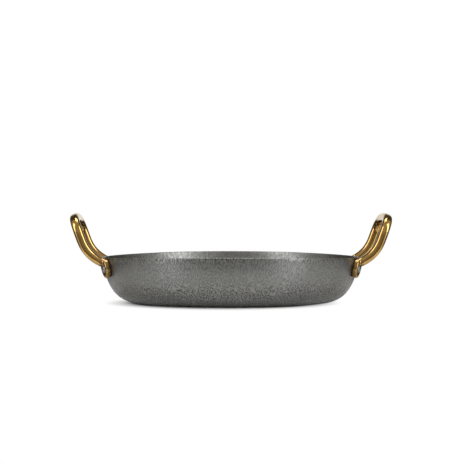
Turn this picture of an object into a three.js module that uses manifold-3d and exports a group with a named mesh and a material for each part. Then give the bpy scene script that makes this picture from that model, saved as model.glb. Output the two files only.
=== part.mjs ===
// A shallow round serving pan, drawn from one steel sheet, with two cast brass loop handles.
// Each handle stands on two round lugs, and a rivet through each lug and the wall holds it.
// Millimetres, +Z up. The origin is the middle of the base, on the table, and +X runs through
// the middle of a handle, so the two handles face along +X and -X.
import * as THREE from "three";
import { mergeVertices } from "three/addons/utils/BufferGeometryUtils.js";
import Module from "manifold-3d";

const wasm = await Module();
wasm.setup();
const { cos, sin, PI } = Math;
const radians = THREE.MathUtils.degToRad;

// Pan body
const RIM_RADIUS = 100; // outside of the rim
const PAN_HEIGHT = 37; // table to the top of the rim, at the front and the back
const RIM_DIP = 2; // how much lower the rim lies beside each handle
const SHEET = 1.2; // thickness of the steel
const BASE_RADIUS = 72.4; // flat part of the underside
const BASE_PULL = 20; // how far the corner is drawn out along the base
const WALL_PULL = 17.6; // how far the corner is drawn up along the wall
const WALL_LEAN = radians(8.5); // the wall's lean out of vertical at the rim

// Handles
const HANDLE_REACH = 20; // rim to the middle of the grip, outwards
const HANDLE_RISE = 28.4; // rim to the middle of the grip, upwards
const HANDLE_WIDTH = 63; // between the middles of the two uprights
const HANDLE_LEAN = radians(20); // the uprights' lean out of vertical below the grip
const HANDLE_BEND = 14; // height of the bend from an upright to the middle of the grip
const BEND_PULL = 11.5; // how far an upright stays straight into its bend
const GRIP_PULL = 25; // how far the arched grip stays near level, from its middle
const UPRIGHT_PULL = 8; // how far an upright stays straight below its bend
const ROOT_PULL = 17.5; // how far an upright runs out from the wall before it turns up
const ROOT_CLIMB = radians(22); // its slope there, above the horizontal
const ROOT_SPLAY = radians(2); // and its heading, away from +X
const ROOT_RISE = 2; // where it leaves the wall, above the rivet
const ROOT_HALF_THICKNESS = 3.5;
const ROOT_HALF_WIDTH = 4.5;
const ROOT_FLARE = 1; // how much the bar spreads on all sides where it meets its lug
const ROOT_FLARE_LENGTH = 8; // over how much of its length
const GRIP_HALF_THICKNESS = 3.6;
const GRIP_HALF_WIDTH = 3.7;
const BAR_SQUARENESS = 2.6; // 2 makes the bar's section an ellipse, and more makes it squarer
const LUG_ANGLE = radians(18.2); // each lug from the handle's middle, round the pan
const LUG_DROP = 9.5; // middle of the lug below the front of the rim
const LUG_RADIUS = 7.5;
const LUG_THICKNESS = 3.6;
const LUG_EDGE = 1; // rounding of the lug's outer edge

// Rivets
const SHANK_RADIUS = 2;
const HEAD_OVERHANG = 1.3; // domed head on the lug, beyond the shank
const HEAD_HEIGHT = 2.3;
const INNER_HEAD_OVERHANG = 2.2; // flatter head inside the pan, beyond the shank
const INNER_HEAD_HEIGHT = 1.3;
const SPOT_DEPTH = 1.3; // how deep the domed head sits in its lug

// Clearances
const SEAT_GAP = 0.3; // between pieces that lie on each other
const HOLE_CLEARANCE = 0.2; // round a rivet's shank
const SPOT_CLEARANCE = 0.5; // round a rivet's head, in the recess cut for it
const CUT_OVERRUN = 5; // how far a cutting shape runs on past what it cuts

// Facets
const ROUND_STEPS = 80; // round the pan
const WALL_STEPS = 13; // up the wall
const RIM_STEPS = 4; // over the rounded edge of the sheet
const BAR_SIDES = 20; // round a handle's bar
const UPRIGHT_STEPS = 12; // along an upright
const BEND_STEPS = 12; // from there over the bend to the middle of the grip
const EDGE_STEPS = 3; // over the rounded edge of a lug
const RIVET_STEPS = 16; // round a rivet and its holes
const DOME_STEPS = 4; // over a rivet's head

// Solids

function toSolid(geometry) {
  const bare = new THREE.BufferGeometry();
  bare.setAttribute("position", geometry.getAttribute("position"));
  bare.setIndex(geometry.getIndex());
  const merged = mergeVertices(bare, 1e-3);
  const mesh = new wasm.Mesh({
    numProp: 3,
    vertProperties: new Float32Array(merged.getAttribute("position").array),
    triVerts: new Uint32Array(merged.getIndex().array),
  });
  return new wasm.Manifold(mesh);
}

function toGeometry(solid) {
  const mesh = solid.getMesh();
  const geometry = new THREE.BufferGeometry();
  geometry.setAttribute("position", new THREE.BufferAttribute(mesh.vertProperties, 3));
  geometry.setIndex(new THREE.BufferAttribute(mesh.triVerts, 1));
  geometry.computeVertexNormals();
  return geometry;
}

// A profile of (radius, height) points turned about +Z.
function revolve(profile, steps) {
  const points = profile.map(([radius, height]) => new THREE.Vector2(radius, height));
  return new THREE.LatheGeometry(points, steps).rotateX(PI / 2);
}

// Pan body

// The wall's outer face in section: a single curve from the flat base to the leaning rim.
// It ends where the rounded edge of the sheet begins.
const wallTop = PAN_HEIGHT - (SHEET / 2) * (1 + sin(WALL_LEAN));
const wallCurve = new THREE.CubicBezierCurve(
  new THREE.Vector2(BASE_RADIUS, 0),
  new THREE.Vector2(BASE_RADIUS + BASE_PULL, 0),
  new THREE.Vector2(RIM_RADIUS - WALL_PULL * sin(WALL_LEAN), wallTop - WALL_PULL * cos(WALL_LEAN)),
  new THREE.Vector2(RIM_RADIUS, wallTop),
);

// Points of the wall in section, moved outwards by a distance, from the base to the rim.
function wallLine(outwards) {
  return Array.from({ length: WALL_STEPS + 1 }, (_, i) => {
    const point = wallCurve.getPoint(i / WALL_STEPS);
    const along = wallCurve.getTangent(i / WALL_STEPS);
    return [point.x + outwards * along.y, point.y - outwards * along.x];
  });
}

// How far a point of the pan sinks because the rim dips beside the handles.
function dip(x, y, z) {
  const towardsHandle = x * x / Math.max(x * x + y * y, 1e-9);
  return RIM_DIP * towardsHandle * (Math.max(z, 0) / PAN_HEIGHT) ** 2;
}

function dipped(geometry) {
  const place = geometry.getAttribute("position");
  for (let i = 0; i < place.count; i++) {
    const [x, y, z] = [place.getX(i), place.getY(i), place.getZ(i)];
    place.setZ(i, z - dip(x, y, z));
  }
  return geometry;
}

// The sheet's cut edge, rounded over from the outer face to the inner one.
function rimEdge() {
  const [rim, along] = [wallCurve.getPoint(1), wallCurve.getTangent(1)];
  const half = SHEET / 2;
  return Array.from({ length: RIM_STEPS - 1 }, (_, i) => {
    const turn = (PI * (i + 1)) / RIM_STEPS;
    const [across, up] = [half * cos(turn) - half, half * sin(turn)];
    return [rim.x + across * along.y + up * along.x, rim.y - across * along.x + up * along.y];
  });
}

function panShell() {
  const outside = wallLine(0);
  const inside = wallLine(-SHEET).reverse();
  return dipped(revolve([[0, 0], ...outside, ...rimEdge(), ...inside, [0, SHEET]], ROUND_STEPS));
}

// Everything inside the wall's outer face and a seat gap, used to fit the lugs to the wall.
// It runs on above the rim in the wall's own direction, so that it clears the inside of a lug.
function wallPlug() {
  const line = wallLine(SEAT_GAP);
  const along = wallCurve.getTangent(1);
  const [rimRadius, rimHeight] = line.at(-1);
  const [topRadius, top] = [rimRadius + LUG_RADIUS * along.x, rimHeight + LUG_RADIUS * along.y];
  return dipped(revolve([[0, -SEAT_GAP], ...line, [topRadius, top], [0, top]], ROUND_STEPS));
}

// Where a lug's rivet crosses the wall, on the handle that faces +X, and which way is out.
// side is 1 for the lug at +Y and -1 for the one at -Y.
function rivetSeat(side) {
  const [towardsX, towardsY] = [cos(LUG_ANGLE), side * sin(LUG_ANGLE)];
  const onWall = (t) => {
    const { x, y } = wallCurve.getPoint(t);
    return new THREE.Vector3(x * towardsX, x * towardsY, y - dip(x * towardsX, x * towardsY, y));
  };
  const halvings = 40;
  let [low, high] = [0, 1];
  for (let i = 0; i < halvings; i++) {
    const middle = (low + high) / 2;
    if (onWall(middle).z < PAN_HEIGHT - LUG_DROP) low = middle;
    else high = middle;
  }
  const step = 1e-3;
  const upWall = onWall(low + step).sub(onWall(low - step)).normalize();
  const roundWall = new THREE.Vector3(-towardsY, towardsX, 0);
  return { point: onWall(low), out: roundWall.cross(upWall).normalize() };
}

// Turns a shape made along +Z so that it runs out from a rivet's seat.
function seatMatrix({ point, out }) {
  const turn = new THREE.Quaternion().setFromUnitVectors(new THREE.Vector3(0, 0, 1), out);
  return new THREE.Matrix4().compose(point, turn, new THREE.Vector3(1, 1, 1));
}

function seatRod(seat, radius, from, to) {
  const rod = new THREE.CylinderGeometry(radius, radius, to - from, RIVET_STEPS);
  rod.rotateX(PI / 2).translate(0, 0, (from + to) / 2);
  return toSolid(rod.applyMatrix4(seatMatrix(seat)));
}

// Handle

const headRadius = SHANK_RADIUS + HEAD_OVERHANG;
const Y_AXIS = new THREE.Vector3(0, 1, 0);

// The middle line of half a handle, from inside the lug at -Y to the middle of the grip.
function halfHandleCurves() {
  const { point } = rivetSeat(-1);
  const rise = new THREE.Vector3(sin(HANDLE_LEAN), 0, cos(HANDLE_LEAN));
  const grip = new THREE.Vector3(RIM_RADIUS + HANDLE_REACH, 0, PAN_HEIGHT + HANDLE_RISE);
  const root = point.clone().setZ(point.z + ROOT_RISE);
  const rootWay = new THREE.Vector3(cos(ROOT_SPLAY), -sin(ROOT_SPLAY), 0).multiplyScalar(cos(ROOT_CLIMB));
  rootWay.z = sin(ROOT_CLIMB);
  const shoulder = grip.clone().addScaledVector(rise, -HANDLE_BEND).setY(-HANDLE_WIDTH / 2);
  return {
    rise,
    upright: new THREE.CubicBezierCurve3(
      root,
      root.clone().addScaledVector(rootWay, ROOT_PULL),
      shoulder.clone().addScaledVector(rise, -UPRIGHT_PULL),
      shoulder,
    ),
    bend: new THREE.CubicBezierCurve3(
      shoulder,
      shoulder.clone().addScaledVector(rise, BEND_PULL),
      grip.clone().addScaledVector(Y_AXIS, -GRIP_PULL),
      grip,
    ),
  };
}

// Stations along the whole bar. Each has its place, direction, thickness direction and half sizes.
function barStations() {
  const { rise, upright, bend } = halfHandleCurves();
  const uprightLength = upright.getLength();
  const gripFace = new THREE.Vector3().crossVectors(Y_AXIS, rise);
  const station = (curve, t, share) => {
    const along = curve.getTangentAt(t);
    const face = new THREE.Vector3().crossVectors(Y_AXIS, along);
    const swell = THREE.MathUtils.smoothstep(share, 0, 1);
    const nearLug = Math.max(0, 1 - (share * uprightLength) / ROOT_FLARE_LENGTH);
    const flare = ROOT_FLARE * nearLug ** 2;
    return {
      place: curve.getPointAt(t),
      along,
      face: (face.length() > 1e-3 ? face : gripFace.clone()).normalize(),
      halfThickness: flare + THREE.MathUtils.lerp(ROOT_HALF_THICKNESS, GRIP_HALF_THICKNESS, swell),
      halfWidth: flare + THREE.MathUtils.lerp(ROOT_HALF_WIDTH, GRIP_HALF_WIDTH, swell),
    };
  };
  const half = [];
  for (let i = 0; i < UPRIGHT_STEPS; i++) half.push(station(upright, i / UPRIGHT_STEPS, i / UPRIGHT_STEPS));
  for (let i = 0; i <= BEND_STEPS; i++) half.push(station(bend, i / BEND_STEPS, 1));
  const mirror = new THREE.Vector3(1, -1, 1);
  const otherHalf = half.slice(0, -1).reverse().map((one) => ({
    ...one,
    place: one.place.clone().multiply(mirror),
    along: one.along.clone().multiply(mirror).negate(),
    face: one.face.clone().multiply(mirror),
  }));
  return [...half, ...otherHalf];
}

// A cosine or sine bent so that an oval traced with it comes out squarer.
function squared(value) {
  return Math.sign(value) * Math.abs(value) ** (2 / BAR_SQUARENESS);
}

// A bar of rounded section through the stations, closed at both ends.
function loft(stations) {
  const vertices = [];
  const faces = [];
  for (const { place, along, face, halfThickness, halfWidth } of stations) {
    const across = new THREE.Vector3().crossVectors(along, face).normalize();
    for (let i = 0; i < BAR_SIDES; i++) {
      const turn = (2 * PI * i) / BAR_SIDES;
      const point = place.clone().addScaledVector(face, halfThickness * squared(cos(turn)));
      vertices.push(...point.addScaledVector(across, halfWidth * squared(sin(turn))).toArray());
    }
  }
  for (let ring = 0; ring < stations.length - 1; ring++) {
    for (let i = 0; i < BAR_SIDES; i++) {
      const [a, b] = [ring * BAR_SIDES + i, ring * BAR_SIDES + ((i + 1) % BAR_SIDES)];
      faces.push(a, b, b + BAR_SIDES, a, b + BAR_SIDES, a + BAR_SIDES);
    }
  }
  const last = (stations.length - 1) * BAR_SIDES;
  for (let i = 1; i < BAR_SIDES - 1; i++) {
    faces.push(0, i + 1, i);
    faces.push(last, last + i, last + i + 1);
  }
  const geometry = new THREE.BufferGeometry();
  geometry.setAttribute("position", new THREE.Float32BufferAttribute(vertices, 3));
  geometry.setIndex(faces);
  return geometry;
}

// A round lug with a softened outer edge. It starts inside the wall, and the plug trims it to fit.
function lug(seat) {
  const [inner, outer] = [-CUT_OVERRUN, SEAT_GAP + LUG_THICKNESS];
  const edge = [];
  for (let i = 0; i <= EDGE_STEPS; i++) {
    const turn = (PI / 2) * (i / EDGE_STEPS);
    edge.push([LUG_RADIUS - LUG_EDGE * (1 - cos(turn)), outer - LUG_EDGE * (1 - sin(turn))]);
  }
  const disc = revolve([[0, inner], [LUG_RADIUS, inner], ...edge, [0, outer]], 2 * RIVET_STEPS);
  return toSolid(disc.applyMatrix4(seatMatrix(seat)));
}

function handleSolid() {
  const plug = toSolid(wallPlug());
  const seats = [rivetSeat(-1), rivetSeat(1)];
  const spotFloor = SEAT_GAP + LUG_THICKNESS - SPOT_DEPTH;
  const spotTop = spotFloor + HEAD_HEIGHT + CUT_OVERRUN;
  let handle = toSolid(loft(barStations()));
  for (const seat of seats) handle = handle.add(lug(seat));
  handle = handle.subtract(plug);
  for (const seat of seats) {
    handle = handle.subtract(seatRod(seat, SHANK_RADIUS + HOLE_CLEARANCE, -CUT_OVERRUN, spotTop));
    handle = handle.subtract(seatRod(seat, headRadius + SPOT_CLEARANCE, spotFloor, spotTop));
  }
  return handle;
}

// Rivet

// Points over a domed head, from its edge to its crown, measured along the rivet's axis.
function dome(radius, height, base, way) {
  return Array.from({ length: DOME_STEPS + 1 }, (_, i) => {
    const turn = (PI / 2) * (i / DOME_STEPS);
    return [i === DOME_STEPS ? 0 : radius * cos(turn), base + way * height * sin(turn)];
  });
}

// One rivet in place: a flat-domed head inside the pan, the shank, and a full dome on the lug.
function rivetGeometry(seat) {
  const insideFace = -SHEET - SEAT_GAP;
  const outsideFace = SEAT_GAP + LUG_THICKNESS - SPOT_DEPTH + SEAT_GAP;
  const profile = [
    ...dome(SHANK_RADIUS + INNER_HEAD_OVERHANG, INNER_HEAD_HEIGHT, insideFace, -1).reverse(),
    [SHANK_RADIUS, insideFace],
    [SHANK_RADIUS, outsideFace],
    ...dome(headRadius, HEAD_HEIGHT, outsideFace, 1),
  ];
  return revolve(profile, RIVET_STEPS).applyMatrix4(seatMatrix(seat));
}

// Assembly

const ETCHED_STEEL = new THREE.MeshStandardMaterial({ color: 0x6b6b68, roughness: 0.45, metalness: 0.9 });
const POLISHED_BRASS = new THREE.MeshStandardMaterial({ color: 0xa8823f, roughness: 0.2, metalness: 1 });
const RIVET_STEEL = new THREE.MeshStandardMaterial({ color: 0x8f9090, roughness: 0.35, metalness: 1 });

const servingPan = new THREE.Group();

function place(name, geometry, material, parent) {
  const mesh = new THREE.Mesh(geometry, material);
  mesh.name = name;
  parent.add(mesh);
}

const sides = [
  { name: "right", turn: 0 },
  { name: "left", turn: PI },
];
let body = toSolid(panShell());
for (const { turn } of sides) {
  for (const side of [-1, 1]) {
    const hole = seatRod(rivetSeat(side), SHANK_RADIUS + HOLE_CLEARANCE, -SHEET - CUT_OVERRUN, CUT_OVERRUN);
    body = body.subtract(hole.rotate([0, 0, THREE.MathUtils.radToDeg(turn)]));
  }
}
place("pan_body", toGeometry(body), ETCHED_STEEL, servingPan);

const handle = toGeometry(handleSolid());
for (const { name, turn } of sides) {
  const group = new THREE.Group();
  group.rotation.z = turn;
  servingPan.add(group);
  place(`handle_${name}`, handle, POLISHED_BRASS, group);
  for (const side of [-1, 1]) {
    const isFront = (side < 0) === (turn === 0);
    place(`rivet_${name}_${isFront ? "front" : "back"}`, rivetGeometry(rivetSeat(side)), RIVET_STEEL, group);
  }
}

export default servingPan;
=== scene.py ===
from math import cos, pi, radians, sin

import bmesh
import bpy
from mathutils import Matrix, Vector


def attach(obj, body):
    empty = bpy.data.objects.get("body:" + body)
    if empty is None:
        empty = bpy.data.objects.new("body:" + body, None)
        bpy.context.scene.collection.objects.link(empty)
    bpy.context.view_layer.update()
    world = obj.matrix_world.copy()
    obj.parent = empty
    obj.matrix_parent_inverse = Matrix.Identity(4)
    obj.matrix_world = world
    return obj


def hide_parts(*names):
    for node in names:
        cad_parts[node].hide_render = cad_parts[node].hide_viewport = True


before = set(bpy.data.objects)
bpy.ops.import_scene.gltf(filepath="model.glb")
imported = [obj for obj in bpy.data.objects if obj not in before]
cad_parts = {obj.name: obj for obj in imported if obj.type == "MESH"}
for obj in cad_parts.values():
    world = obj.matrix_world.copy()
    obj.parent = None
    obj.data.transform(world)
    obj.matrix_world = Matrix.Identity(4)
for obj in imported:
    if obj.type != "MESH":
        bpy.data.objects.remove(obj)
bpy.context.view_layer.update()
scene = bpy.context.scene
scene.view_settings.view_transform = "Standard"


# Pan body: one round of stainless steel sheet, etched all over while flat with a fine pattern of
# flowers, leaves and scrolls, darkened, and then deep-drawn, which pulls the pattern tall up the wall.
# The cut edge of the sheet is left plain and rounded over, and dips a little beside each handle.
RIM_RADIUS = 0.100
PAN_HEIGHT = 0.037
RIM_DIP = 0.002
SHEET_THICKNESS = 0.0012
BASE_RADIUS = 0.0724
BASE_PULL = 0.020  # how far the curve of the corner holds to the base
WALL_PULL = 0.0176  # and to the slope of the rim
WALL_LEAN = radians(8.5)
DRAW_STRETCH = 1.3  # how much taller than it was etched the pattern stands at the rim, less one
FLOOR_RINGS = 12
WALL_STEPS = 48
RIM_STEPS = 8
ROUND_STEPS = 288
WELD = 1e-6  # points closer than this become one

wall_top = PAN_HEIGHT - SHEET_THICKNESS / 2 * (1 + sin(WALL_LEAN))
wall_ends = (
    Vector((BASE_RADIUS, 0, 0)),
    Vector((BASE_RADIUS + BASE_PULL, 0, 0)),
    Vector((RIM_RADIUS - WALL_PULL * sin(WALL_LEAN), 0, wall_top - WALL_PULL * cos(WALL_LEAN))),
    Vector((RIM_RADIUS, 0, wall_top)),
)


def bezier(ends, t):
    """A point of a cubic curve, and its direction there."""
    a, b, c, d = ends
    u = 1 - t
    point = a * u**3 + b * (3 * t * u**2) + c * (3 * t**2 * u) + d * t**3
    way = (b - a) * u**2 + (c - b) * (2 * t * u) + (d - c) * t**2
    return point, way.normalized()


def wall_line(outwards):
    """Points of the wall in section, from base to rim, moved outwards from its outer face."""
    line = []
    for i in range(WALL_STEPS + 1):
        point, way = bezier(wall_ends, i / WALL_STEPS)
        line.append(point + outwards * Vector((way.z, 0, -way.x)))
    return line


def half_profile(wall, floor_height):
    """One face of the sheet in section, from the middle of the floor to the rim."""
    floor = [Vector((wall[0].x * i / FLOOR_RINGS, 0, floor_height)) for i in range(FLOOR_RINGS)]
    return floor + wall


def blank_radii(line):
    """How far from its middle each point lay on the flat sheet, before it was drawn."""
    radii = [0]
    for low, high in zip(line, line[1:]):
        rise = (low.z + high.z) / 2 / PAN_HEIGHT
        radii.append(radii[-1] + (high - low).length / (1 + DRAW_STRETCH * rise**2))
    return radii


def rim_edge():
    """The rounded edge of the sheet, from its outer face over to its inner one."""
    rim, up = bezier(wall_ends, 1)
    out = Vector((up.z, 0, -up.x))
    half = SHEET_THICKNESS / 2
    turns = [pi * i / RIM_STEPS for i in range(1, RIM_STEPS)]
    return [rim + out * half * (cos(turn) - 1) + up * half * sin(turn) for turn in turns]


def points_object(name, points, edges=(), **attributes):
    """A working object of bare points, with any vector attributes of theirs."""
    mesh = bpy.data.meshes.new(name)
    mesh.from_pydata(points, edges, [])
    for attribute, vectors in attributes.items():
        layer = mesh.attributes.new(attribute, "FLOAT_VECTOR", "POINT")
        for place, vector in zip(layer.data, vectors):
            place.vector = vector
    working = bpy.data.objects.new(name, mesh)
    scene.collection.objects.link(working)
    return working


def add(tree, kind, inputs=(), output=0, **settings):
    """Adds a node with its settings, gives each input a value or links, and returns an output."""
    node = tree.nodes.new(kind)
    for name, value in settings.items():
        setattr(node, name, value)
    for socket, value in dict(inputs).items():
        for one in value if isinstance(value, list) else [value]:
            if isinstance(one, bpy.types.NodeSocket):
                tree.links.new(one, node.inputs[socket])
            else:
                node.inputs[socket].default_value = one
    return node.outputs[output] if node.outputs else None


SOCKETS = {int: "NodeSocketInt", float: "NodeSocketFloat", bpy.types.Object: "NodeSocketObject"}


def grow(working, name, sizes, build):
    """Puts a Geometry Nodes tree on a working object, with a named input for each size.
    build(tree, inputs) fills it and returns what it makes."""
    tree = bpy.data.node_groups.new(name, "GeometryNodeTree")
    tree.interface.new_socket("Geometry", in_out="INPUT", socket_type="NodeSocketGeometry")
    tree.interface.new_socket("Geometry", in_out="OUTPUT", socket_type="NodeSocketGeometry")
    modifier = working.modifiers.new(name, "NODES")
    modifier.node_group = tree
    for size, value in sizes.items():
        socket = tree.interface.new_socket(size, in_out="INPUT", socket_type=SOCKETS[type(value)])
        modifier[socket.identifier] = value
    inputs = add(tree, "NodeGroupInput").node.outputs
    add(tree, "NodeGroupOutput", {0: build(tree, inputs)})


def turned(tree, profile, steps):
    """Adds nodes that turn a row of (radius, 0, height) points about +Z. The seam is left open.
    Returns the surface and, for each of its points, its place in the row and its angle."""
    rows = add(tree, "GeometryNodeAttributeDomainSize", {0: profile}, component="MESH")
    columns = add(tree, "FunctionNodeIntegerMath", {0: steps, 1: 1}, operation="ADD")
    grid = add(tree, "GeometryNodeMeshGrid", {"Vertices X": rows, "Vertices Y": columns})
    index = add(tree, "GeometryNodeInputIndex")
    row = add(tree, "FunctionNodeIntegerMath", {0: index, 1: columns}, operation="DIVIDE_FLOOR")
    column = add(tree, "FunctionNodeIntegerMath", {0: index, 1: columns}, operation="MODULO")
    share = add(tree, "ShaderNodeMath", {0: column, 1: steps}, operation="DIVIDE")
    turn = add(tree, "ShaderNodeMath", {0: share, 1: -2 * pi}, operation="MULTIPLY")
    place = add(
        tree,
        "GeometryNodeSampleIndex",
        {0: profile, 1: add(tree, "GeometryNodeInputPosition"), 2: row},
        data_type="FLOAT_VECTOR",
    )
    round_z = add(tree, "ShaderNodeVectorRotate", {0: place, "Angle": turn}, rotation_type="Z_AXIS")
    surface = add(tree, "GeometryNodeSetPosition", {0: grid, "Position": round_z})
    return surface, row, turn


def baked(working, name):
    """Turns a working object and its modifiers into a plain mesh, closed and facing outwards."""
    depsgraph = bpy.context.evaluated_depsgraph_get()
    mesh = bpy.data.meshes.new_from_object(
        working.evaluated_get(depsgraph), preserve_all_data_layers=True, depsgraph=depsgraph
    )
    shape = bmesh.new()
    shape.from_mesh(mesh)
    bmesh.ops.remove_doubles(shape, verts=shape.verts, dist=WELD)
    bmesh.ops.recalc_face_normals(shape, faces=shape.faces)
    shape.to_mesh(mesh)
    shape.free()
    bpy.data.objects.remove(working)
    mesh.name = name
    piece = bpy.data.objects.new(name, mesh)
    scene.collection.objects.link(piece)
    return piece


def linear(hex_colour):
    """A colour written as sRGB hex, as the linear values that a shader takes."""
    shares = [int(hex_colour[i : i + 2], 16) / 255 for i in (1, 3, 5)]
    return (*[s / 12.92 if s <= 0.04045 else ((s + 0.055) / 1.055) ** 2.4 for s in shares], 1)


def new_material(name):
    """An empty material, and its node tree."""
    material = bpy.data.materials.new(name)
    material.use_nodes = True
    material.node_tree.nodes.clear()
    return material, material.node_tree


def etched_steel():
    """Etched stainless steel, darkened: satin lands catch the light between fine matt lines.
    The real lines are too fine for the render, so they are drawn as coarse as they need to show."""
    material, tree = new_material("etched_stainless_steel")
    flower_spacing = 8.6  # millimetres on the flat sheet, like all down to at_edge
    flower_radius = 3.4
    leaf_spacing = 5.4
    leaf_half_length = 3.5
    leaf_half_width = 1.35
    leaf_tip = 0.05  # half the least width that a leaf runs out to
    scroll_width = 3.7
    sway_width = 9.0  # how wide the bends are that make the drawing look done by hand
    sway_reach = 5.0
    patch_width = 11.0  # of the uneven bite
    low_wall, half_way = 98.0, 103.5  # places up the wall, from the middle of the flat sheet
    below_rim, at_edge = 109.5, 113.0
    etch_depth = 0.00016  # metres
    petals = 5
    petal_notch = 0.55  # where two petals meet, as a share of the flower's radius
    petal_swell = 0.5  # how much further out a petal's tip lies
    flower_rings = 1.5  # waves from the middle of a flower to its outline, where a line is
    flower_end = (1.3, 1.2)  # shares of the outline where a flower is over, and still whole
    leaf_end = (1.35, 1.25)
    scroll_rings = 4  # lines from the lowest to the highest of the noise
    scroll_strength = 0.6
    patch_range = (0.38, 0.62)  # most of what the noise gives
    weak_bite = 0.7  # of the weakest patches. 1 is a full bite
    low_bite, half_way_bite, rim_bite = 0.84, 0.33, 0.6  # how strong it is at those places
    line_wall = (-0.8, 0.4)  # the part of a wave over which a line rises to the land
    unbitten = 0.45  # level of the sheet where the etch doesn't bite
    line_roughness, land_roughness = 0.44, 0.28
    line_colour = linear("#3f403f")
    land_colour = linear("#7d7e7d")

    blank = add(tree, "ShaderNodeAttribute", output="Vector", attribute_name="flat_blank")
    sheet = add(tree, "ShaderNodeVectorMath", {0: blank, "Scale": 1000.0}, operation="SCALE")
    wander = add(
        tree,
        "ShaderNodeTexNoise",
        {0: sheet, "Scale": 1 / sway_width, "Detail": 3.0},
        output="Color",
    )
    sway = add(
        tree,
        "ShaderNodeVectorMath",
        {0: wander, 1: (sway_reach, sway_reach, 0), 2: sheet},
        operation="MULTIPLY_ADD",
    )

    # Flowers, one to a cell: petal outlines, one inside another.
    cell = add(
        tree,
        "ShaderNodeTexVoronoi",
        {0: sway, "Scale": 1 / flower_spacing, "Randomness": 0.7},
        output="Position",
        voronoi_dimensions="2D",
    )
    offset = add(tree, "ShaderNodeVectorMath", {0: sway, 1: cell}, operation="SUBTRACT")
    reach = add(tree, "ShaderNodeVectorMath", {0: offset}, output="Value", operation="LENGTH")
    across = add(tree, "ShaderNodeSeparateXYZ", {0: offset}).node.outputs
    heading = add(tree, "ShaderNodeMath", {0: across[1], 1: across[0]}, operation="ARCTAN2")
    spin = add(tree, "ShaderNodeSeparateColor", {0: cell.node.outputs["Color"]})
    lobe_turn = add(
        tree,
        "ShaderNodeMath",
        {0: heading, 1: petals / 2, 2: spin},
        operation="MULTIPLY_ADD",
    )
    lobe = add(tree, "ShaderNodeMath", {0: lobe_turn}, operation="COSINE")
    lobe_out = add(tree, "ShaderNodeMath", {0: lobe}, operation="ABSOLUTE")
    outline = add(
        tree,
        "ShaderNodeMath",
        {0: lobe_out, 1: petal_swell * flower_radius, 2: petal_notch * flower_radius},
        operation="MULTIPLY_ADD",
    )
    share_out = add(tree, "ShaderNodeMath", {0: reach, 1: outline}, operation="DIVIDE")
    ring_turn = add(
        tree, "ShaderNodeMath", {0: share_out, 1: 2 * pi * flower_rings}, operation="MULTIPLY"
    )
    rings = add(tree, "ShaderNodeMath", {0: ring_turn}, operation="COSINE")
    in_flower = add(
        tree, "ShaderNodeMapRange", {0: share_out, 1: flower_end[0], 2: flower_end[1]}
    )

    # Leaves, one to a smaller cell and each turned its own way, with a mid-rib and an outline.
    leaf_cell = add(
        tree,
        "ShaderNodeTexVoronoi",
        {0: sway, "Scale": 1 / leaf_spacing, "Randomness": 0.85},
        output="Position",
        voronoi_dimensions="2D",
    )
    leaf_offset = add(tree, "ShaderNodeVectorMath", {0: sway, 1: leaf_cell}, operation="SUBTRACT")
    leaf_draw = add(tree, "ShaderNodeSeparateColor", {0: leaf_cell.node.outputs["Color"]})
    leaf_angle = add(tree, "ShaderNodeMath", {0: leaf_draw, 1: 2 * pi}, operation="MULTIPLY")
    leaf_turned = add(
        tree,
        "ShaderNodeVectorRotate",
        {0: leaf_offset, "Angle": leaf_angle},
        rotation_type="Z_AXIS",
    )
    leaf_axes = add(tree, "ShaderNodeSeparateXYZ", {0: leaf_turned}).node.outputs
    along = add(tree, "ShaderNodeMath", {0: leaf_axes[0], 1: leaf_half_length}, operation="DIVIDE")
    along_squared = add(tree, "ShaderNodeMath", {0: along, 1: along}, operation="MULTIPLY")
    leaf_edge = add(
        tree,
        "ShaderNodeMath",
        {0: along_squared, 1: -leaf_half_width, 2: leaf_half_width},
        operation="MULTIPLY_ADD",
    )
    leaf_edge_kept = add(tree, "ShaderNodeMath", {0: leaf_edge, 1: leaf_tip}, operation="MAXIMUM")
    from_rib = add(tree, "ShaderNodeMath", {0: leaf_axes[1]}, operation="ABSOLUTE")
    leaf_share = add(tree, "ShaderNodeMath", {0: from_rib, 1: leaf_edge_kept}, operation="DIVIDE")
    leaf_turn = add(tree, "ShaderNodeMath", {0: leaf_share, 1: 2 * pi}, operation="MULTIPLY")
    leaf_lines = add(tree, "ShaderNodeMath", {0: leaf_turn}, operation="COSINE")
    in_leaf = add(tree, "ShaderNodeMapRange", {0: leaf_share, 1: leaf_end[0], 2: leaf_end[1]})

    # Scrolls between them: lines that wander and close on themselves, as a hand draws a filling.
    drift = add(tree, "ShaderNodeTexNoise", {0: sway, "Scale": 1 / scroll_width, "Detail": 1.5})
    scroll_turn = add(
        tree, "ShaderNodeMath", {0: drift, 1: 2 * pi * scroll_rings}, operation="MULTIPLY"
    )
    scroll_lines = add(tree, "ShaderNodeMath", {0: scroll_turn}, operation="COSINE")
    scrolls = add(
        tree, "ShaderNodeMath", {0: scroll_lines, 1: scroll_strength}, operation="MULTIPLY"
    )
    ground = add(tree, "ShaderNodeMix", {0: in_leaf, 2: scrolls, 3: leaf_lines}, data_type="FLOAT")
    drawn = add(tree, "ShaderNodeMix", {0: in_flower, 2: ground, 3: rings}, data_type="FLOAT")

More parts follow.
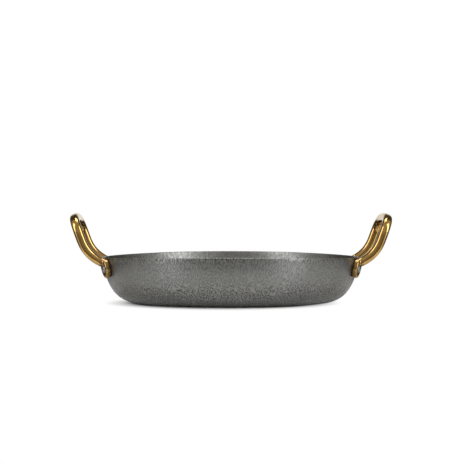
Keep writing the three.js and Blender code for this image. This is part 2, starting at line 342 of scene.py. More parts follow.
    # The etch bites unevenly: in patches, deepest low on the wall, least half-way up, and well again
    # at the rim.
    patch = add(tree, "ShaderNodeTexNoise", {0: sheet, "Scale": 1 / patch_width, "Detail": 2.0})
    bite = add(
        tree,
        "ShaderNodeMapRange",
        {0: patch, 1: patch_range[0], 2: patch_range[1], 3: weak_bite},
    )
    from_middle = add(tree, "ShaderNodeVectorMath", {0: sheet}, output="Value", operation="LENGTH")
    thinned = add(
        tree,
        "ShaderNodeMapRange",
        {0: from_middle, 1: low_wall, 2: half_way, 3: low_bite, 4: half_way_bite},
    )
    at_rim = add(
        tree, "ShaderNodeMapRange", {0: from_middle, 1: below_rim, 2: at_edge, 4: rim_bite}
    )
    deeper = add(tree, "ShaderNodeMath", {0: thinned, 1: at_rim}, operation="MAXIMUM")
    depth = add(tree, "ShaderNodeMath", {0: bite, 1: deeper}, operation="MULTIPLY")
    line = add(
        tree,
        "ShaderNodeMapRange",
        {0: drawn, 1: line_wall[0], 2: line_wall[1]},
        interpolation_type="SMOOTHSTEP",
    )
    land = add(tree, "ShaderNodeMix", {0: depth, 2: unbitten, 3: line}, data_type="FLOAT")
    bump = add(tree, "ShaderNodeBump", {"Distance": etch_depth, "Height": land})
    colour = add(
        tree,
        "ShaderNodeMix",
        {0: land, 6: line_colour, 7: land_colour},
        output=2,
        data_type="RGBA",
    )
    roughness = add(
        tree, "ShaderNodeMapRange", {0: land, 3: line_roughness, 4: land_roughness}
    )
    steel = add(
        tree,
        "ShaderNodeBsdfPrincipled",
        {"Base Color": colour, "Metallic": 1.0, "Roughness": roughness, "Normal": bump},
    )
    add(tree, "ShaderNodeOutputMaterial", {0: steel})
    return material


outer_half = half_profile(wall_line(0), 0)
inner_half = half_profile(wall_line(-SHEET_THICKNESS), SHEET_THICKNESS)
edge = rim_edge()
outer_radii = blank_radii(outer_half + edge)
inner_radii = blank_radii(inner_half)
blank_places = [Vector((radius, 0, 0)) for radius in outer_radii]
blank_places += [Vector((radius, 0, SHEET_THICKNESS)) for radius in reversed(inner_radii)]


def sunk_rim(tree, surface, turn, pan_height, rim_dip):
    """Adds nodes that sink a turned wall towards the handles, most at its rim."""
    place = add(tree, "GeometryNodeInputPosition")
    height = add(tree, "ShaderNodeSeparateXYZ", {0: place}, output="Z")
    towards_handle = add(tree, "ShaderNodeMath", {0: turn}, operation="COSINE")
    share_up = add(tree, "ShaderNodeMath", {0: height, 1: pan_height}, operation="DIVIDE")
    both = add(tree, "ShaderNodeMath", {0: towards_handle, 1: share_up}, operation="MULTIPLY")
    squared = add(tree, "ShaderNodeMath", {0: both, 1: 2.0}, operation="POWER")
    sink = add(tree, "ShaderNodeMath", {0: squared, 1: rim_dip}, operation="MULTIPLY")
    down = add(tree, "ShaderNodeVectorMath", {0: (0, 0, -1), "Scale": sink}, operation="SCALE")
    return add(tree, "GeometryNodeSetPosition", {0: surface, "Offset": down})


def drawn_pan(tree, inputs):
    """The section turned about the middle, with its rim dipped towards the handles."""
    surface, row, turn = turned(tree, inputs["Geometry"], inputs["Steps Round"])
    cut = add(tree, "GeometryNodeInputNamedAttribute", {0: "blank"}, data_type="FLOAT_VECTOR")
    blank = add(
        tree,
        "GeometryNodeSampleIndex",
        {0: inputs["Geometry"], 1: cut, 2: row},
        data_type="FLOAT_VECTOR",
    )
    flat = add(tree, "ShaderNodeVectorRotate", {0: blank, "Angle": turn}, rotation_type="Z_AXIS")
    etched = add(
        tree,
        "GeometryNodeStoreNamedAttribute",
        {0: surface, "Name": "flat_blank", "Value": flat},
        data_type="FLOAT_VECTOR",
        domain="POINT",
    )
    dipped = sunk_rim(tree, etched, turn, inputs["Pan Height"], inputs["Rim Dip"])
    closed = add(tree, "GeometryNodeMergeByDistance", {0: dipped, "Distance": WELD})
    smooth = add(tree, "GeometryNodeSetShadeSmooth", {0: closed})
    real = add(tree, "GeometryNodeRealizeInstances", {0: smooth})
    return add(tree, "GeometryNodeSetMaterial", {0: real, "Material": etched_steel()})


section = points_object("pan_section", outer_half + edge + inner_half[::-1], blank=blank_places)
grow(
    section,
    "drawn_pan",
    {"Steps Round": ROUND_STEPS, "Pan Height": PAN_HEIGHT, "Rim Dip": RIM_DIP},
    drawn_pan,
)
pan = baked(section, "etched_pan")
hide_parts("pan_body")
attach(pan, "root")


# Handles: each is one brass casting, a loop bar of softly squared section whose two feet spread
# into round lugs. The lugs are dressed to the wall and spot-faced for their rivets, then polished.
HANDLE_REACH = 0.020  # the middle of the grip, out from the rim
HANDLE_RISE = 0.0284  # and up from it
HANDLE_WIDTH = 0.063  # between the two uprights
HANDLE_LEAN = radians(20)  # of the loop's upper part, outwards
HANDLE_BEND = 0.014  # the height over which an upright bends into the grip
BEND_PULL = 0.0115  # how far a curve holds to its direction, as the next three say too
GRIP_PULL = 0.025
UPRIGHT_PULL = 0.008
ROOT_PULL = 0.0175
ROOT_CLIMB = radians(22)  # how steeply the bar leaves its lug
ROOT_SPLAY = radians(2)
ROOT_RISE = 0.002  # above the middle of the lug
ROOT_TIP = 0.001  # the closed end, inside the lug
ROOT_HALF_THICKNESS = 0.0035
ROOT_HALF_WIDTH = 0.0045
ROOT_FLARE = 0.001
ROOT_FLARE_LENGTH = 0.008
GRIP_HALF_THICKNESS = 0.0036
GRIP_HALF_WIDTH = 0.0037
POLISH = 0.00005  # what polishing takes off all round
BAR_SQUARENESS = 2.6  # 2 is an oval bar
LUG_ANGLE = radians(18.2)  # round the pan, from the middle of the handle
LUG_DROP = 0.0095  # its middle, below the pan's height
LUG_RADIUS = 0.0075
LUG_HEIGHT = 0.0038  # its outer face, above the wall
LUG_EDGE = 0.0010
LUG_SEAT = 0.0001  # the hairline between lug and wall
HOLE_RADIUS = 0.0022
SPOT_RADIUS = 0.0038
SPOT_DEPTH = 0.0013
CUT_OVERRUN = 0.005  # how far a cut runs past what it cuts
UPRIGHT_STEPS = 48
BEND_STEPS = 40
BAR_SIDES = 96
LUG_EDGE_STEPS = 6
LUG_STEPS = 96
PLUG_STEPS = 360
HOLE_STEPS = 48
SPOT_STEPS = 96
CAST_GRAIN = 0.00034  # size of the faces that the casting is remeshed to
POLISH_PASSES = 8  # of rubbing, which soften the corners
SPOT_REACH = 0.006  # from a rivet's middle: the painted recess shade is full up to here
LUG_REACH = 0.010  # and gone from here, where the lug ends
BAR_REACH = 0.014  # the bar has its true shape from here on


def dip(point):
    """How far a point of the wall sinks because the rim dips beside the handles."""
    towards_handle = point.x**2 / (point.x**2 + point.y**2)
    return RIM_DIP * towards_handle * (point.z / PAN_HEIGHT) ** 2


def wall_seat(angle):
    """Where a rivet crosses the wall's outer face, at an angle round the pan, and its way out."""
    halvings = 40
    step = 1e-3

    def on_wall(t):
        point = Matrix.Rotation(angle, 3, "Z") @ bezier(wall_ends, t)[0]
        return point - Vector((0, 0, dip(point)))

    low, high = 0, 1
    for _ in range(halvings):
        middle = (low + high) / 2
        if on_wall(middle).z < PAN_HEIGHT - LUG_DROP:
            low = middle
        else:
            high = middle
    up_wall = on_wall(low + step) - on_wall(low - step)
    round_wall = Vector((-sin(angle), cos(angle), 0))
    return on_wall(low), round_wall.cross(up_wall).normalized()


seats = [wall_seat(angle) for angle in (-LUG_ANGLE, LUG_ANGLE)]
seat_points = points_object("handle_seats", [p for p, _ in seats], out=[o for _, o in seats])

# The middle line of the bar, from the lug at -Y over the grip to the lug at +Y.
rise = Vector((sin(HANDLE_LEAN), 0, cos(HANDLE_LEAN)))
grip_face = Vector((cos(HANDLE_LEAN), 0, -sin(HANDLE_LEAN)))
grip_middle = Vector((RIM_RADIUS + HANDLE_REACH, 0, PAN_HEIGHT + HANDLE_RISE))
root = seats[0][0] + Vector((0, 0, ROOT_RISE))
root_way = Matrix.Rotation(-ROOT_SPLAY, 3, "Z") @ Vector((cos(ROOT_CLIMB), 0, sin(ROOT_CLIMB)))
to_upright = Vector((0, -HANDLE_WIDTH / 2, 0))
shoulder = grip_middle - rise * HANDLE_BEND + to_upright
grip_pull = Vector((0, GRIP_PULL, 0))
upright = (root, root + root_way * ROOT_PULL, shoulder - rise * UPRIGHT_PULL, shoulder)
bend = (shoulder, shoulder + rise * BEND_PULL, grip_middle - grip_pull, grip_middle)
half_bar = [root - root_way * ROOT_TIP]
half_bar += [bezier(upright, i / UPRIGHT_STEPS)[0] for i in range(UPRIGHT_STEPS)]
half_bar += [bezier(bend, i / BEND_STEPS)[0] for i in range(BEND_STEPS)]
other_half = [Vector((p.x, -p.y, p.z)) for p in half_bar]
bar_line = half_bar + [grip_middle] + other_half[::-1]
upright_line = half_bar[1 : UPRIGHT_STEPS + 1] + [shoulder]
upright_length = sum((b - a).length for a, b in zip(upright_line, upright_line[1:]))


def swept_bar(tree, inputs):
    """A bar swept along its middle line. It spreads at its feet, and ends in a point at each."""
    nudge = (1e-4, 1e-4, 1e-4)  # keeps the bar's outer face from turning over
    line = add(tree, "GeometryNodeMeshToCurve", {0: inputs["Geometry"]})
    parameter = add(tree, "GeometryNodeSplineParameter").node.outputs
    length = add(tree, "GeometryNodeSplineLength")
    left = add(tree, "ShaderNodeMath", {0: length, 1: parameter["Length"]}, operation="SUBTRACT")
    nearest = add(tree, "ShaderNodeMath", {0: left, 1: parameter["Length"]}, operation="MINIMUM")
    from_foot = add(tree, "ShaderNodeMath", {0: nearest, 1: ROOT_TIP}, operation="SUBTRACT")
    swell = add(
        tree,
        "ShaderNodeMapRange",
        {0: from_foot, 2: inputs["Upright Length"]},
        interpolation_type="SMOOTHSTEP",
    )
    near_lug = add(
        tree,
        "ShaderNodeMapRange",
        {0: from_foot, 2: inputs["Flare Length"], 3: 1.0, 4: 0.0},
    )
    near_squared = add(tree, "ShaderNodeMath", {0: near_lug, 1: near_lug}, operation="MULTIPLY")
    flare = add(
        tree, "ShaderNodeMath", {0: near_squared, 1: inputs["Root Flare"]}, operation="MULTIPLY"
    )
    not_end = add(tree, "ShaderNodeMath", {0: nearest, 1: ROOT_TIP / 2}, operation="GREATER_THAN")
    half_sizes = []
    for size in ("Half Thickness", "Half Width"):
        plain = add(
            tree,
            "ShaderNodeMix",
            {0: swell, 2: inputs[f"Root {size}"], 3: inputs[f"Grip {size}"]},
            data_type="FLOAT",
        )
        spread = add(tree, "ShaderNodeMath", {0: plain, 1: flare}, operation="ADD")
        closing = add(tree, "ShaderNodeMath", {0: spread, 1: not_end}, operation="MULTIPLY")
        half_sizes.append(closing)

    along = add(tree, "GeometryNodeInputTangent")
    sideways = add(
        tree, "ShaderNodeVectorMath", {0: (0, 1, 0), 1: along}, operation="CROSS_PRODUCT"
    )
    outer = add(
        tree,
        "ShaderNodeVectorMath",
        {0: sideways, 1: tuple(grip_face)},
        output="Value",
        operation="DOT_PRODUCT",
    )
    outer_sign = add(tree, "ShaderNodeMath", {0: outer}, operation="SIGN")
    outwards = add(
        tree, "ShaderNodeVectorMath", {0: sideways, "Scale": outer_sign}, operation="SCALE"
    )
    steadied = add(
        tree,
        "ShaderNodeVectorMath",
        {0: tuple(grip_face), 1: nudge, 2: outwards},
        operation="MULTIPLY_ADD",
    )
    face = add(tree, "ShaderNodeVectorMath", {0: steadied}, operation="NORMALIZE")
    across = add(tree, "ShaderNodeVectorMath", {0: along, 1: face}, operation="CROSS_PRODUCT")

    columns = add(tree, "FunctionNodeIntegerMath", {0: inputs["Bar Sides"], 1: 1}, operation="ADD")
    rows = add(tree, "GeometryNodeAttributeDomainSize", {0: line}, component="CURVE")
    grid = add(tree, "GeometryNodeMeshGrid", {"Vertices X": rows, "Vertices Y": columns})
    index = add(tree, "GeometryNodeInputIndex")
    row = add(tree, "FunctionNodeIntegerMath", {0: index, 1: columns}, operation="DIVIDE_FLOOR")
    column = add(tree, "FunctionNodeIntegerMath", {0: index, 1: columns}, operation="MODULO")
    share = add(tree, "ShaderNodeMath", {0: column, 1: inputs["Bar Sides"]}, operation="DIVIDE")
    turn = add(tree, "ShaderNodeMath", {0: share, 1: 2 * pi}, operation="MULTIPLY")
    power = add(tree, "ShaderNodeMath", {0: 2.0, 1: inputs["Squareness"]}, operation="DIVIDE")
    on_line = add(tree, "GeometryNodeInputPosition")
    place = add(
        tree, "GeometryNodeSampleIndex", {0: line, 1: on_line, 2: row}, data_type="FLOAT_VECTOR"
    )
    for wave, half, way in (("COSINE", half_sizes[0], face), ("SINE", half_sizes[1], across)):
        swing = add(tree, "ShaderNodeMath", {0: turn}, operation=wave)
        size = add(tree, "ShaderNodeMath", {0: swing}, operation="ABSOLUTE")
        fuller = add(tree, "ShaderNodeMath", {0: size, 1: power}, operation="POWER")
        side = add(tree, "ShaderNodeMath", {0: swing}, operation="SIGN")
        squared = add(tree, "ShaderNodeMath", {0: fuller, 1: side}, operation="MULTIPLY")
        reach = add(tree, "ShaderNodeVectorMath", {0: way, "Scale": half}, operation="SCALE")
        at_row = add(
            tree, "GeometryNodeSampleIndex", {0: line, 1: reach, 2: row}, data_type="FLOAT_VECTOR"
        )
        step = add(tree, "ShaderNodeVectorMath", {0: at_row, "Scale": squared}, operation="SCALE")
        place = add(tree, "ShaderNodeVectorMath", {0: place, 1: step}, operation="ADD")
    bar = add(tree, "GeometryNodeSetPosition", {0: grid, "Position": place})
    return add(tree, "GeometryNodeMergeByDistance", {0: bar, "Distance": WELD})


bar_working = points_object("bar_line", bar_line, [(i, i + 1) for i in range(len(bar_line) - 1)])
grow(
    bar_working,
    "swept_bar",
    {
        "Bar Sides": BAR_SIDES,
        "Squareness": BAR_SQUARENESS,
        "Upright Length": upright_length,
        "Root Half Thickness": ROOT_HALF_THICKNESS - POLISH,
        "Root Half Width": ROOT_HALF_WIDTH - POLISH,
        "Grip Half Thickness": GRIP_HALF_THICKNESS - POLISH,
        "Grip Half Width": GRIP_HALF_WIDTH - POLISH,
        "Root Flare": ROOT_FLARE,
        "Flare Length": ROOT_FLARE_LENGTH,
    },
    swept_bar,
)
bar = baked(bar_working, "bar")


def lug_section():
    """A lug in section: a disc, from inside the wall to its outer face, with a softened edge."""
    edge = []
    for i in range(LUG_EDGE_STEPS + 1):
        turn = pi / 2 * i / LUG_EDGE_STEPS
        radius = LUG_RADIUS - LUG_EDGE * (1 - cos(turn))
        edge.append(Vector((radius, 0, LUG_HEIGHT - LUG_EDGE * (1 - sin(turn)))))
    inside = [Vector((0, 0, -CUT_OVERRUN)), Vector((LUG_RADIUS, 0, -CUT_OVERRUN))]
    return inside + edge + [Vector((0, 0, LUG_HEIGHT))]


def plug_section():
    """All that lies inside the wall's outer face, in section: the lugs are dressed to it."""
    line = wall_line(LUG_SEAT)
    above = line[-1] + LUG_RADIUS * bezier(wall_ends, 1)[1]
    return [Vector((0, 0, -LUG_SEAT))] + line + [above, Vector((0, 0, above.z))]


def rod_section(radius, low, high):
    """A round cutter in section."""
    return [Vector((r, 0, z)) for r, z in ((0, low), (radius, low), (radius, high), (0, high))]


spot_floor = LUG_HEIGHT - SPOT_DEPTH
spot_top = LUG_HEIGHT + 2 * CUT_OVERRUN
working_sections = {
    "Lug": points_object("lug_section", lug_section()),
    "Plug": points_object("plug_section", plug_section()),
    "Hole": points_object("hole_section", rod_section(HOLE_RADIUS, -CUT_OVERRUN, spot_top)),
    "Spot": points_object("spot_section", rod_section(SPOT_RADIUS, spot_floor, spot_top)),
}
casting_sizes = {
    "Lug Steps": LUG_STEPS,
    "Plug Steps": PLUG_STEPS,
    "Hole Steps": HOLE_STEPS,
    "Spot Steps": SPOT_STEPS,
    "Pan Height": PAN_HEIGHT,
    "Rim Dip": RIM_DIP,
}


def cast_handle(tree, inputs):
    """The bar joined to its two lugs, dressed to the wall, drilled and spot-faced."""
    seat_geometry = add(tree, "GeometryNodeObjectInfo", {0: inputs["Seats"]}, output="Geometry")
    out = add(tree, "GeometryNodeInputNamedAttribute", {0: "out"}, data_type="FLOAT_VECTOR")
    outwards = add(tree, "FunctionNodeAlignRotationToVector", {"Vector": out}, axis="Z")
    shapes = {}
    for name in ("Lug", "Plug", "Hole", "Spot"):
        profile = add(tree, "GeometryNodeObjectInfo", {0: inputs[name]}, output="Geometry")
        surface, _, turn = turned(tree, profile, inputs[f"{name} Steps"])
        if name == "Plug":
            surface = sunk_rim(tree, surface, turn, inputs["Pan Height"], inputs["Rim Dip"])
        shapes[name] = add(tree, "GeometryNodeMergeByDistance", {0: surface, "Distance": WELD})
        if name != "Plug":
            placed = add(
                tree,
                "GeometryNodeInstanceOnPoints",
                {0: seat_geometry, "Instance": shapes[name], "Rotation": outwards},
            )
            shapes[name] = add(tree, "GeometryNodeRealizeInstances", {0: placed})
    joined = add(
        tree,
        "GeometryNodeMeshBoolean",
        {1: [inputs["Geometry"], shapes["Lug"]]},
        operation="UNION",
        solver="MANIFOLD",
    )
    cutters = [shapes["Plug"], shapes["Hole"], shapes["Spot"]]
    return add(
        tree,
        "GeometryNodeMeshBoolean",
        {0: joined, 1: cutters},
        operation="DIFFERENCE",
        solver="MANIFOLD",
    )


def polished_brass():
    """Cast brass, polished by hand and thinly lacquered: long clean reflections that go pale where
    a lamp shows, with a darker brown painted over the lugs and round the rivets as painted shade
    for the recesses."""
    material, tree = new_material("polished_cast_brass")
    cloud_width = 8.0  # millimetres: the patches that a hand rubs unevenly
    cloud_range = (0.35, 0.65)  # most of what the noise gives
    bar_roughness, recess_roughness = 0.12, 0.3
    bar_colour = linear("#8f7038")
    rubbed_colour = linear("#9b7c45")
    # The deepest brown is painted shade for the lugs and the recesses round the rivets.
    recess_shade_colour = linear("#5d4827")
    edge_tint = (0.85, 0.72, 0.5, 1)  # brass stays warm at a grazing look
    place = add(tree, "ShaderNodeTexCoord", output="Object")
    cloud = add(tree, "ShaderNodeTexNoise", {0: place, "Scale": 1000 / cloud_width, "Detail": 3.0})
    worn = add(tree, "ShaderNodeMapRange", {0: cloud, 1: cloud_range[0], 2: cloud_range[1]})
    bloom = add(tree, "ShaderNodeAttribute", output="Fac", attribute_name="bloom")
    bright = add(
        tree,
        "ShaderNodeMix",
        {0: worn, 6: bar_colour, 7: rubbed_colour},
        output=2,
        data_type="RGBA",
    )
    # Painted shade: the brass darkens to the deepest brown over the lugs and round the rivets, where
    # the recesses lie in shade.
    colour = add(
        tree,
        "ShaderNodeMix",
        {0: bloom, 6: bright, 7: recess_shade_colour},
        output=2,
        data_type="RGBA",
    )
    roughness = add(
        tree, "ShaderNodeMapRange", {0: bloom, 3: bar_roughness, 4: recess_roughness}
    )
    brass = add(
        tree,
        "ShaderNodeBsdfPrincipled",
        {
            "Base Color": colour,
            "Metallic": 1.0,
            "Roughness": roughness,
            "Specular Tint": edge_tint,
            "Coat Weight": 0.45,
            "Coat Roughness": 0.1,
        },
    )
    add(tree, "ShaderNodeOutputMaterial", {0: brass})
    return material


def polished(tree, inputs):
    """The casting rubbed smooth: its corners soften, and away from the lugs it is the true bar."""
    place = add(tree, "GeometryNodeInputPosition")
    rubbed = add(
        tree,
        "GeometryNodeBlurAttribute",
        {0: place, "Iterations": inputs["Passes"], "Weight": 1.0},
        data_type="FLOAT_VECTOR",
    )
    soft = add(tree, "GeometryNodeSetPosition", {0: inputs["Geometry"], "Position": rubbed})
    true_bar = add(tree, "GeometryNodeObjectInfo", {0: inputs["Bar"]}, output="Geometry")
    seat_geometry = add(tree, "GeometryNodeObjectInfo", {0: inputs["Seats"]}, output="Geometry")
    from_bar = add(tree, "GeometryNodeProximity", {0: true_bar}, target_element="FACES")
    from_seat = add(
        tree,
        "GeometryNodeProximity",
        {0: seat_geometry},
        output="Distance",
        target_element="POINTS",
    )
    clear = add(
        tree,
        "ShaderNodeMapRange",
        {0: from_seat, 1: inputs["Lug Reach"], 2: inputs["Bar Reach"]},
        interpolation_type="SMOOTHSTEP",
    )
    trued = add(
        tree, "ShaderNodeMix", {0: clear, 4: place, 5: from_bar}, output=1, data_type="VECTOR"
    )
    shaped = add(tree, "GeometryNodeSetPosition", {0: soft, "Position": trued})
    # Painted shade: a mask, full round each rivet and gone past the lug, stored so that the brass
    # darkens there.
    recess_shade_mask = add(
        tree,
        "ShaderNodeMapRange",
        {0: from_seat, 1: inputs["Spot Reach"], 2: inputs["Lug Reach"], 3: 1.0, 4: 0.0},
        interpolation_type="SMOOTHSTEP",
    )
    with_recess_shade = add(
        tree,
        "GeometryNodeStoreNamedAttribute",
        {0: shaped, "Name": "bloom", "Value": recess_shade_mask},
        data_type="FLOAT",
        domain="POINT",
    )
    smooth = add(tree, "GeometryNodeSetShadeSmooth", {0: with_recess_shade})
    real = add(tree, "GeometryNodeRealizeInstances", {0: smooth})
    return add(tree, "GeometryNodeSetMaterial", {0: real, "Material": brass})


brass = polished_brass()
casting = bar.copy()
scene.collection.objects.link(casting)
grow(
    casting,
    "cast_handle",
    {"Seats": seat_points, **working_sections, **casting_sizes},
    cast_handle,
)
remesh = casting.modifiers.new("remesh", "REMESH")
remesh.mode = "VOXEL"
remesh.voxel_size = CAST_GRAIN
grow(
    casting,
    "polished",
    {
        "Bar": bar,
        "Seats": seat_points,
        "Passes": POLISH_PASSES,
        "Spot Reach": SPOT_REACH,
        "Lug Reach": LUG_REACH,
        "Bar Reach": BAR_REACH,
    },
    polished,
)
handle_right = baked(casting, "brass_handle_right")
for working in (bar, seat_points, *working_sections.values()):
    bpy.data.objects.remove(working)
handle_left = bpy.data.objects.new("brass_handle_left", handle_right.data.copy())
handle_left.data.name = "brass_handle_left"
handle_left.data.transform(Matrix.Rotation(pi, 4, "Z"))
scene.collection.objects.link(handle_left)
for handle, node in ((handle_left, "handle_left"), (handle_right, "handle_right")):
    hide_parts(node)
    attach(handle, "root")


# Rivets: four of solid steel, one through each lug and the wall. Each has a full dome on the lug
# and a broad flat dome inside the pan, formed cold when it is set, and is left satin.
SHANK_RADIUS = 0.002
HEAD_RADIUS = 0.0033
HEAD_HEIGHT = 0.0023
INNER_HEAD_RADIUS = 0.0042
INNER_HEAD_HEIGHT = 0.0013
HEAD_SEAT = 0.0001  # the hairline under a head
DOME_STEPS = 16
RIVET_STEPS = 64


def dome(radius, height, base, way):
    """Points over a domed head, from its edge to its crown."""
    turns = [pi / 2 * i / DOME_STEPS for i in range(DOME_STEPS + 1)]
    return [Vector((radius * cos(turn), 0, base + way * height * sin(turn))) for turn in turns]


def satin_steel():
    """Satin steel, as cold forming and a tumble leave it: soft grey with faint cloudy patches."""
    material, tree = new_material("satin_steel")
    cloud_width = 1.0  # millimetres: coarser than the real grain, so that it shows
    bright_roughness, dull_roughness = 0.28, 0.42
    place = add(tree, "ShaderNodeTexCoord", output="Object")
    cloud = add(tree, "ShaderNodeTexNoise", {0: place, "Scale": 1000 / cloud_width, "Detail": 3.0})
    colour = add(
        tree,
        "ShaderNodeMix",
        {0: cloud, 6: linear("#606162"), 7: linear("#777879")},
        output=2,
        data_type="RGBA",
    )
    roughness = add(
        tree, "ShaderNodeMapRange", {0: cloud, 3: bright_roughness, 4: dull_roughness}
    )
    steel = add(
        tree,
        "ShaderNodeBsdfPrincipled",
        {"Base Color": colour, "Metallic": 1.0, "Roughness": roughness},
    )
    add(tree, "ShaderNodeOutputMaterial", {0: steel})
    return material


def set_rivets(tree, inputs):
    """One rivet turned from its section, and set at each seat with its axis out of the wall."""
    profile = add(tree, "GeometryNodeObjectInfo", {0: inputs["Rivet"]}, output="Geometry")
    surface = turned(tree, profile, inputs["Steps Round"])[0]
    rivet = add(tree, "GeometryNodeMergeByDistance", {0: surface, "Distance": WELD})
    smooth = add(tree, "GeometryNodeSetShadeSmooth", {0: rivet})
    out = add(tree, "GeometryNodeInputNamedAttribute", {0: "out"}, data_type="FLOAT_VECTOR")
    outwards = add(tree, "FunctionNodeAlignRotationToVector", {"Vector": out}, axis="Z")
    placed = add(
        tree,
        "GeometryNodeInstanceOnPoints",
        {0: inputs["Geometry"], "Instance": smooth, "Rotation": outwards},
    )
    real = add(tree, "GeometryNodeRealizeInstances", {0: placed})
    return add(tree, "GeometryNodeSetMaterial", {0: real, "Material": satin_steel()})


inside_face = -SHEET_THICKNESS - HEAD_SEAT
outside_face = spot_floor + HEAD_SEAT
rivet_points = dome(INNER_HEAD_RADIUS, INNER_HEAD_HEIGHT, inside_face, -1)[::-1]
rivet_points += [Vector((SHANK_RADIUS, 0, inside_face)), Vector((SHANK_RADIUS, 0, outside_face))]
rivet_points += dome(HEAD_RADIUS, HEAD_HEIGHT, outside_face, 1)
rivet_section = points_object("rivet_section", rivet_points)
half_turn = Matrix.Rotation(pi, 3, "Z")
all_seats = seats + [(half_turn @ p, half_turn @ o) for p, o in seats]
rivet_places = [p for p, _ in all_seats]
rivet_seats = points_object("rivet_seats", rivet_places, out=[o for _, o in all_seats])
grow(rivet_seats, "set_rivets", {"Rivet": rivet_section, "Steps Round": RIVET_STEPS}, set_rivets)
rivets = baked(rivet_seats, "steel_rivets")
bpy.data.objects.remove(rivet_section)
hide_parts("rivet_left_front", "rivet_left_back", "rivet_right_front", "rivet_right_back")
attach(rivets, "root")


# Stage: white paper under the pan, which the camera sees and which takes the pan's shadow. The
# metal shows a dark polished table with a pale middle instead, as its dark edges in the photo do.
PAPER_HALF = 9.0
TABLE_HALF = 0.6
PAPER_DROP = 0.0001  # below the base of the pan. The table lies half as far below it
QUARTERS = ((-1, -1), (1, -1), (1, 1), (-1, 1))
# Painted shadow: these place and size the patch where the paper is painted grey round the pan.
SHADOW_SHIFT = (0.006, 0.010, 0)
SHADOW_SQUEEZE = (1.13, 1.0, 0)
SHADOW_REACH = 0.078  # the paper is grey this far from the middle of the shadow
WHITE_REACH = 0.104  # and plain white from here on
PALE_MIDDLE = (0.01, -0.03, 0)
PALE_HALF = (0.245, 0.165, 1)
PALE_EDGE = (0.7, 1.0)  # shares of the way out between which the pale middle darkens


def white_paper():
    """Smooth paper. Near the pan it is painted grey, a painted shadow that deepens the real shadow
    it takes, and further off it is plain white, which lights nothing else."""
    material, tree = new_material("white_paper")
    place = add(tree, "ShaderNodeTexCoord", output="Object")
    shifted = add(tree, "ShaderNodeVectorMath", {0: place, 1: SHADOW_SHIFT}, operation="ADD")
    squeezed = add(
        tree, "ShaderNodeVectorMath", {0: shifted, 1: SHADOW_SQUEEZE}, operation="MULTIPLY"
    )
    reach = add(tree, "ShaderNodeVectorMath", {0: squeezed}, output="Value", operation="LENGTH")
    far = add(tree, "ShaderNodeMapRange", {0: reach, 1: SHADOW_REACH, 2: WHITE_REACH})
    # Painted shadow: the paper's grey, darker than white paper, which the pan's real shadow then falls
    # on.
    paper = add(tree, "ShaderNodeBsdfDiffuse", {0: linear("#b4b4b4")})
    white = add(tree, "ShaderNodeEmission", {0: (1, 1, 1, 1), 1: 1.0})
    mixed = add(tree, "ShaderNodeMixShader", {0: far, 1: paper, 2: white})
    add(tree, "ShaderNodeOutputMaterial", {0: mixed})
    material.cycles.emission_sampling = "NONE"
    return material


def polished_table():
    """A dark polished table top with a pale middle: it mirrors the soft boxes low in the metal."""
    material, tree = new_material("polished_table")
    place = add(tree, "ShaderNodeTexCoord", output="Object")
    from_middle = add(
        tree, "ShaderNodeVectorMath", {0: place, 1: PALE_MIDDLE}, operation="SUBTRACT"
    )
    shares = add(tree, "ShaderNodeVectorMath", {0: from_middle, 1: PALE_HALF}, operation="DIVIDE")
    share = add(tree, "ShaderNodeVectorMath", {0: shares}, output="Value", operation="LENGTH")
    gone = add(
        tree,
        "ShaderNodeMapRange",
        {0: share, 1: PALE_EDGE[0], 2: PALE_EDGE[1]},
        interpolation_type="SMOOTHSTEP",
    )
    colour = add(
        tree,
        "ShaderNodeMix",
        {0: gone, 6: linear("#f4f4f4"), 7: linear("#3a3a3a")},
        output=2,
        data_type="RGBA",
    )
    top = add(tree, "ShaderNodeBsdfPrincipled", {0: colour, "Roughness": 0.1})
    add(tree, "ShaderNodeOutputMaterial", {0: top})
    return material


def stage_sheet(name, corners, material):
    """A flat sheet of the stage."""
    mesh = bpy.data.meshes.new(name)
    mesh.from_pydata(corners, [], [(0, 1, 2, 3)])
    mesh.materials.append(material)
    sheet = bpy.data.objects.new(name, mesh)
    scene.collection.objects.link(sheet)
    return sheet


paper_sides = [(sx * PAPER_HALF, sy * PAPER_HALF, -PAPER_DROP) for sx, sy in QUARTERS]
paper = stage_sheet("paper_floor", paper_sides, white_paper())
paper.visible_glossy = False
table_sides = [(sx * TABLE_HALF, sy * TABLE_HALF, -PAPER_DROP / 2) for sx, sy in QUARTERS]
table = stage_sheet("table_top", table_sides, polished_table())
table.visible_camera = False
table.visible_shadow = False


# Light: a pale room in front, dark to both sides behind, and white low down straight behind, with
# a soft box overhead and one to each side in front.
ROOM_AHEAD = 0.85
ROOM_TABLE = 0.12
ROOM_SIDES = 0.12
ROOM_BEHIND = 1.0
AHEAD_RISE = (-0.3, 0.32)  # heights between which the room in front brightens. 1 is overhead
SIDES_START = (0.15, 0.6)  # how far round it darkens. -1 is straight in front, 1 behind
BEHIND_TOP = (0.2, 0.45)  # heights between which the white behind ends
BEHIND_SIDE = (0.955, 0.975)  # how far round it begins
BOX_AIM = Vector((0, 0, 0.03))

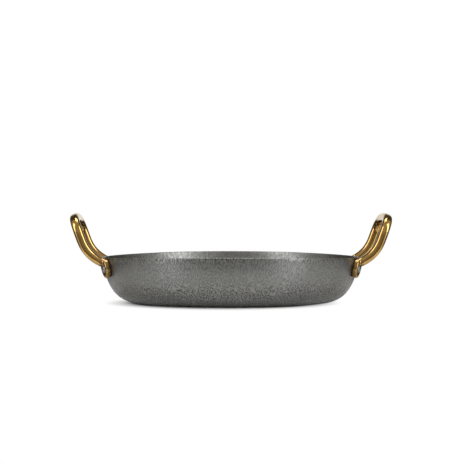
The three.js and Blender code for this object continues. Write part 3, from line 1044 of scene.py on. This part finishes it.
world = bpy.data.worlds.new("studio_room")
scene.world = world
world.use_nodes = True
room = world.node_tree
room.nodes.clear()
direction = add(room, "ShaderNodeTexCoord", output="Generated")
level_way = add(room, "ShaderNodeVectorMath", {0: direction, 1: (1, 1, 0)}, operation="MULTIPLY")
compass = add(room, "ShaderNodeVectorMath", {0: level_way}, operation="NORMALIZE")
away = add(room, "ShaderNodeSeparateXYZ", {0: compass}, output="Y")
up = add(room, "ShaderNodeSeparateXYZ", {0: direction}, output="Z")
front = add(
    room,
    "ShaderNodeMapRange",
    {0: up, 1: AHEAD_RISE[0], 2: AHEAD_RISE[1], 3: ROOM_TABLE, 4: ROOM_AHEAD},
)
ahead = add(
    room,
    "ShaderNodeMapRange",
    {0: away, 1: SIDES_START[0], 2: SIDES_START[1], 3: front, 4: ROOM_SIDES},
    interpolation_type="SMOOTHSTEP",
)
low = add(
    room,
    "ShaderNodeMapRange",
    {0: up, 1: BEHIND_TOP[0], 2: BEHIND_TOP[1], 3: ROOM_BEHIND, 4: 0.0},
)
behind = add(
    room, "ShaderNodeMapRange", {0: away, 1: BEHIND_SIDE[0], 2: BEHIND_SIDE[1], 4: low}
)
strength = add(room, "ShaderNodeMath", {0: ahead, 1: behind}, operation="MAXIMUM")
warmth = add(
    room,
    "ShaderNodeMix",
    {0: behind, 6: linear("#fff9ed"), 7: linear("#ffffff")},
    output=2,
    data_type="RGBA",
)
sky = add(room, "ShaderNodeBackground", {0: warmth, 1: strength})
add(room, "ShaderNodeOutputWorld", {0: sky})

# Each box: its name, place, width and height in metres, and watts.
SOFT_BOXES = (
    ("overhead_box", (0.0, 0.2, 1.1), (0.7, 0.6), 8.5),
    ("left_box", (-1.0, -0.68, 0.56), (0.5, 1.2), 12.4),
    ("right_box", (0.95, -0.74, 0.56), (0.5, 1.2), 15.5),
)
for name, place, (width, height), watts in SOFT_BOXES:
    light = bpy.data.lights.new(name, "AREA")
    light.shape = "RECTANGLE"
    light.size = width
    light.size_y = height
    light.energy = watts
    box = bpy.data.objects.new(name, light)
    box.location = place
    box.rotation_euler = (BOX_AIM - box.location).to_track_quat("-Z", "Y").to_euler()
    scene.collection.objects.link(box)


# Camera: a long lens a little above the rim, almost square to the line through the handles.
CAMERA_DISTANCE = 1.3
CAMERA_HEIGHT = 0.0724
CAMERA_TURN = radians(-1.2)
CAMERA_AIM = Vector((0.0014, 0, 0.0539))
CAMERA_LENS = 129.4  # millimetres, and so is the sensor's width
SENSOR_WIDTH = 36
lens = bpy.data.cameras.new("camera")
lens.sensor_width = SENSOR_WIDTH
lens.lens = CAMERA_LENS
camera = bpy.data.objects.new("camera", lens)
camera.location = (
    CAMERA_DISTANCE * sin(CAMERA_TURN),
    -CAMERA_DISTANCE * cos(CAMERA_TURN),
    CAMERA_HEIGHT,
)
camera.rotation_euler = (CAMERA_AIM - camera.location).to_track_quat("-Z", "Y").to_euler()
scene.collection.objects.link(camera)
scene.camera = camera
